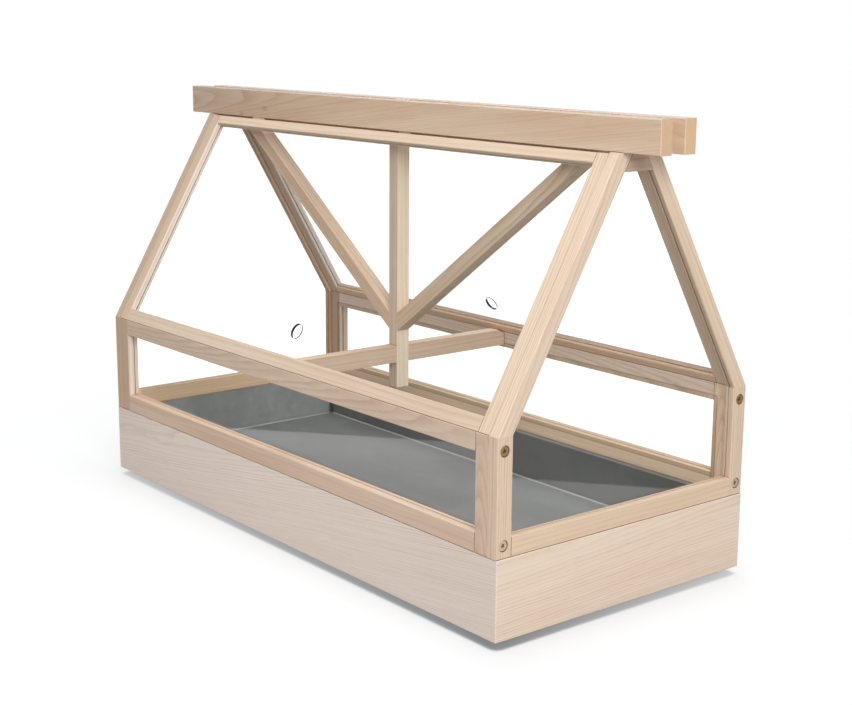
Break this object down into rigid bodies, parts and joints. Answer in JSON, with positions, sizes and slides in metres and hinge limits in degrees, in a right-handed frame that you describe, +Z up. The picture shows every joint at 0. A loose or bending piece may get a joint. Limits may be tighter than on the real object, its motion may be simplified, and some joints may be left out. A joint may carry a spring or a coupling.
{
  "type": "tabletop mini greenhouse",
  "caption": "Wooden tabletop mini greenhouse: glazed gabled house with lifting roof sashes on a low mitred box with a metal planting tray.",
  "frame": {"origin": "on the table, under the centre of the box", "axes": "+X along the ridge, +Z up, +Y to the back"},
  "size_m": [0.796, 0.33, 0.4703],
  "materials": {
    "ash": "fine sanded, pale, oiled matt",
    "plywood": "raw",
    "dowel_wood": "raw",
    "glass": "clear polished",
    "galvanised": "dull grey galvanised sheet",
    "brass": "satin",
    "pin_steel": "turned",
    "foot_rubber": "matt"
  },
  "bodies": {
    "base": {"base_front_board": "ash", "base_back_board": "ash", "base_left_board": "ash", "base_right_board": "ash", "bottom_panel": "plywood", "front_left_corner_block": "ash", "front_right_corner_block": "ash", "back_left_corner_block": "ash", "back_right_corner_block": "ash", "feet": "foot_rubber", "locating_pegs": "dowel_wood"},
    "tray": {"plant_tray": "galvanised"},
    "house": {"front_frame_left_stile": "ash", "front_frame_right_stile": "ash", "front_frame_bottom_rail": "ash", "front_frame_top_rail": "ash", "front_frame_pane": "glass", "back_frame_left_stile": "ash", "back_frame_right_stile": "ash", "back_frame_bottom_rail": "ash", "back_frame_top_rail": "ash", "back_frame_pane": "glass", "left_gable_front_post": "ash", "left_gable_back_post": "ash", "left_gable_front_rafter": "ash", "left_gable_back_rafter": "ash", "left_gable_bottom_rail": "ash", "left_gable_apex_block": "ash", "left_gable_pane": "glass", "right_gable_front_post": "ash", "right_gable_back_post": "ash", "right_gable_front_rafter": "ash", "right_gable_back_rafter": "ash", "right_gable_bottom_rail": "ash", "right_gable_apex_block": "ash", "right_gable_pane": "glass", "front_ridge_beam": "ash", "back_ridge_beam": "ash", "king_post": "ash", "tie_beam": "ash", "left_brace": "ash", "right_brace": "ash", "connector_bolts": "brass", "sash_pivot_pins": "pin_steel", "rafter_dowels": "dowel_wood"},
    "front_sash": {"front_sash_left_stile": "ash", "front_sash_right_stile": "ash", "front_sash_bottom_rail": "ash", "front_sash_top_rail": "ash", "front_sash_pane": "glass"},
    "back_sash": {"back_sash_left_stile": "ash", "back_sash_right_stile": "ash", "back_sash_bottom_rail": "ash", "back_sash_top_rail": "ash", "back_sash_pane": "glass"}
  },
  "joints": [
    {"name": "house_lift", "type": "slide", "parent": "base", "child": "house", "axis": [0, 0, 1], "range_m": [0, 0.15]},
    {"name": "tray_lift", "type": "slide", "parent": "base", "child": "tray", "axis": [0, 0, 1], "range_m": [0, 0.06]},
    {"name": "front_sash_hinge", "type": "hinge", "parent": "house", "child": "front_sash", "pos_m": [0, -0.02441, 0.429], "axis": [-1, 0, 0], "range_deg": [0, 120]},
    {"name": "back_sash_hinge", "type": "hinge", "parent": "house", "child": "back_sash", "pos_m": [0, 0.02441, 0.429], "axis": [1, 0, 0], "range_deg": [0, 120]}
  ]
}
